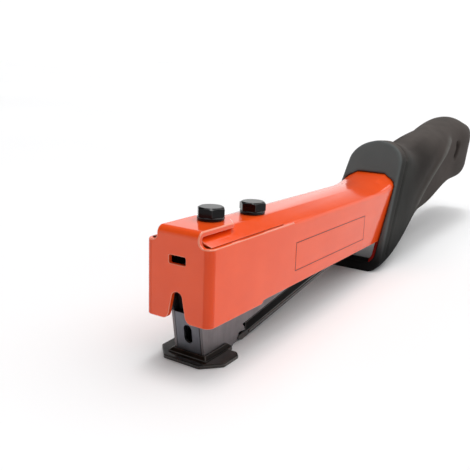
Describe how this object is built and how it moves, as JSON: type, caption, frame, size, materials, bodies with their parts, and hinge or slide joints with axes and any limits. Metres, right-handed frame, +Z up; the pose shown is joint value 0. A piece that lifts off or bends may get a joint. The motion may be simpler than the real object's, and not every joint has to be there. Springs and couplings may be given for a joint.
{
  "type": "hammer tacker",
  "caption": "Hammer tacker: folded sheet body with a clamped bolted head, sprung folding staple magazine, striking foot and hooded rubber grip with a guard hoop.",
  "frame": {"origin": "centre of the foot's front land, on the striking face, under the nose", "axes": "+X runs rearward from the nose to the grip, +Z up, +Y to the left seen from the front"},
  "size_m": [0.3441, 0.0388, 0.0719],
  "materials": {
    "red_enamel": "glossy powder coat",
    "black_oxide": "blackened steel",
    "black_lacquer": "gloss black lacquer",
    "satin_steel": "satin",
    "grip_rubber": "fine matte",
    "spring_steel": "drawn wire",
    "bright_steel": "machined"
  },
  "bodies": {
    "body": {"body_shell": "red_enamel", "guard_tabs": "red_enamel", "head_bolts": "black_oxide", "spring_washers": "black_oxide", "driver_block": "bright_steel", "driver_blade": "spring_steel", "blade_screws": "black_oxide", "pivot_pin": "bright_steel", "pivot_spacers": "bright_steel", "spring_cup": "bright_steel", "return_spring": "spring_steel", "grip_sleeve": "grip_rubber", "handle_core": "bright_steel", "rear_block": "bright_steel", "core_rivets": "bright_steel"},
    "carrier": {"magazine_carrier": "satin_steel", "nose_front_plate": "satin_steel", "foot_plate": "black_lacquer"},
    "tray": {"magazine_tray": "black_lacquer", "staple_rail": "satin_steel", "guide_rod": "spring_steel", "spring_stop": "bright_steel", "pusher_spring": "spring_steel"},
    "pusher": {"pusher": "satin_steel"}
  },
  "joints": [
    {"name": "strike", "type": "hinge", "parent": "body", "child": "carrier", "pos_m": [0.16735, 0, 0.02618], "axis": [0, 1, 0], "range_deg": [0, 5.3], "stiffness_Nm_per_rad": 10, "springref_deg": -17.19, "deforming": ["return_spring"]},
    {"name": "load", "type": "hinge", "parent": "carrier", "child": "tray", "pos_m": [0.16735, 0, 0.02618], "axis": [0, -1, 0], "range_deg": [0, 15]},
    {"name": "feed", "type": "slide", "parent": "tray", "child": "pusher", "axis": [0.9921, 0, 0.1253], "range_m": [0, 0.1], "stiffness_N_per_m": 30, "springref_m": -0.08, "deforming": ["pusher_spring"]}
  ]
}
